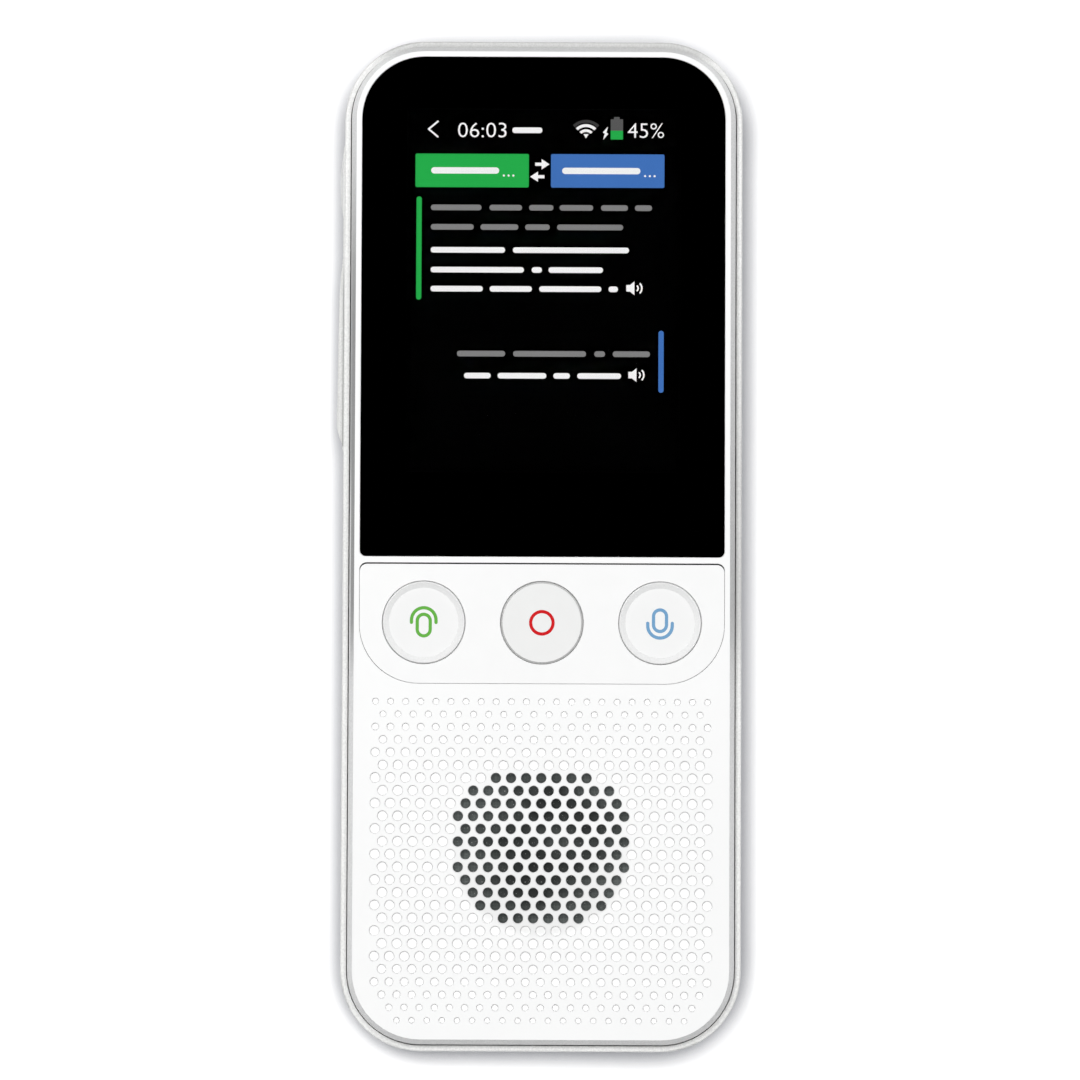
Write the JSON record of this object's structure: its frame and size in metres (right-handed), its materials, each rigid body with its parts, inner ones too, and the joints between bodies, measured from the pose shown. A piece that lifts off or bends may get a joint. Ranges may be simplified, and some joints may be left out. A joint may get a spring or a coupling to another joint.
{
  "type": "handheld translator",
  "caption": "Slim handheld voice translator with a glass-fronted display, three round talk keys, a perforated speaker grille, a side power key and a hinged card flap.",
  "frame": {"origin": "centre of the back face, the face it lies on", "axes": "+Y towards the upper end with the display, +Z out of the front face, +X to the right of someone who looks at the front"},
  "size_m": [0.0549, 0.1366, 0.0137],
  "materials": {
    "white": "gloss, very fine moulded texture",
    "grey_white": "semi-gloss",
    "silver_white": "satin, pearl white",
    "glass": "clear, polished",
    "black_tape": "black printed mask with foam adhesive",
    "foam": "closed-cell foam",
    "display": "polariser film, lit",
    "steel": "stamped sheet",
    "flex": "amber polyimide film",
    "green_sign": "inlaid sign",
    "red_sign": "inlaid sign",
    "blue_sign": "inlaid sign",
    "dark_plastic": "moulded",
    "pale_plastic": "moulded",
    "board": "solder mask",
    "cell": "pouch foil",
    "wire": "silicone sheath",
    "ceramic": "fired ceramic with tinned ends",
    "magnet": "plated",
    "copper": "enamelled copper",
    "cone": "coated film",
    "mesh": "fine woven dust mesh",
    "brass": "plated",
    "boot": "soft rubber",
    "screw": "zinc plated"
  },
  "bodies": {
    "housing": {"front_cover": "white", "rear_cover": "silver_white", "key_panel": "white", "panel_tape": "black_tape", "cover_glass": "glass", "glass_tape": "black_tape", "lcd_gasket": "foam", "lcd_panel": "display", "backlight_tray": "steel", "lcd_flex": "flex", "lcd_connector": "pale_plastic", "key_switches": "dark_plastic", "key_domes": "steel", "power_switch": "dark_plastic", "flap_pin": "steel", "sim_socket": "steel", "memory_card_socket": "steel", "main_board": "board", "shield_can": "steel", "processor": "dark_plastic", "memory_chip": "dark_plastic", "chip_parts": "ceramic", "amplifier": "dark_plastic", "antenna": "pale_plastic", "battery": "cell", "battery_tape": "foam", "battery_wires": "wire", "battery_connector": "pale_plastic", "speaker_basket": "dark_plastic", "speaker_magnet": "magnet", "speaker_coil": "copper", "speaker_cone": "cone", "speaker_gasket": "foam", "speaker_contacts": "brass", "grille_mesh": "mesh", "usb_shell": "steel", "usb_tongue": "dark_plastic", "microphones": "brass", "microphone_boots": "boot", "thread_inserts": "brass", "case_screws": "screw"},
    "left_talk_key": {"left_key": "white", "left_glyph": "green_sign", "left_plunger": "dark_plastic"},
    "centre_talk_key": {"centre_key": "grey_white", "centre_glyph": "red_sign", "centre_plunger": "dark_plastic"},
    "right_talk_key": {"right_key": "white", "right_glyph": "blue_sign", "right_plunger": "dark_plastic"},
    "power_button": {"power_key": "white", "power_plunger": "dark_plastic"},
    "card_cover": {"card_flap": "white"}
  },
  "joints": [
    {"name": "left_key_press", "type": "slide", "parent": "housing", "child": "left_talk_key", "axis": [0, 0, -1], "range_m": [0, 0.00025], "stiffness_N_per_m": 600},
    {"name": "centre_key_press", "type": "slide", "parent": "housing", "child": "centre_talk_key", "axis": [0, 0, -1], "range_m": [0, 0.00025], "stiffness_N_per_m": 600},
    {"name": "right_key_press", "type": "slide", "parent": "housing", "child": "right_talk_key", "axis": [0, 0, -1], "range_m": [0, 0.00025], "stiffness_N_per_m": 600},
    {"name": "power_key_press", "type": "slide", "parent": "housing", "child": "power_button", "axis": [1, 0, 0], "range_m": [0, 0.0003], "stiffness_N_per_m": 600},
    {"name": "card_flap_hinge", "type": "hinge", "parent": "housing", "child": "card_cover", "pos_m": [-0.02645, 0.0386, 0.00555], "axis": [0, 0, -1], "range_deg": [0, 95]}
  ]
}
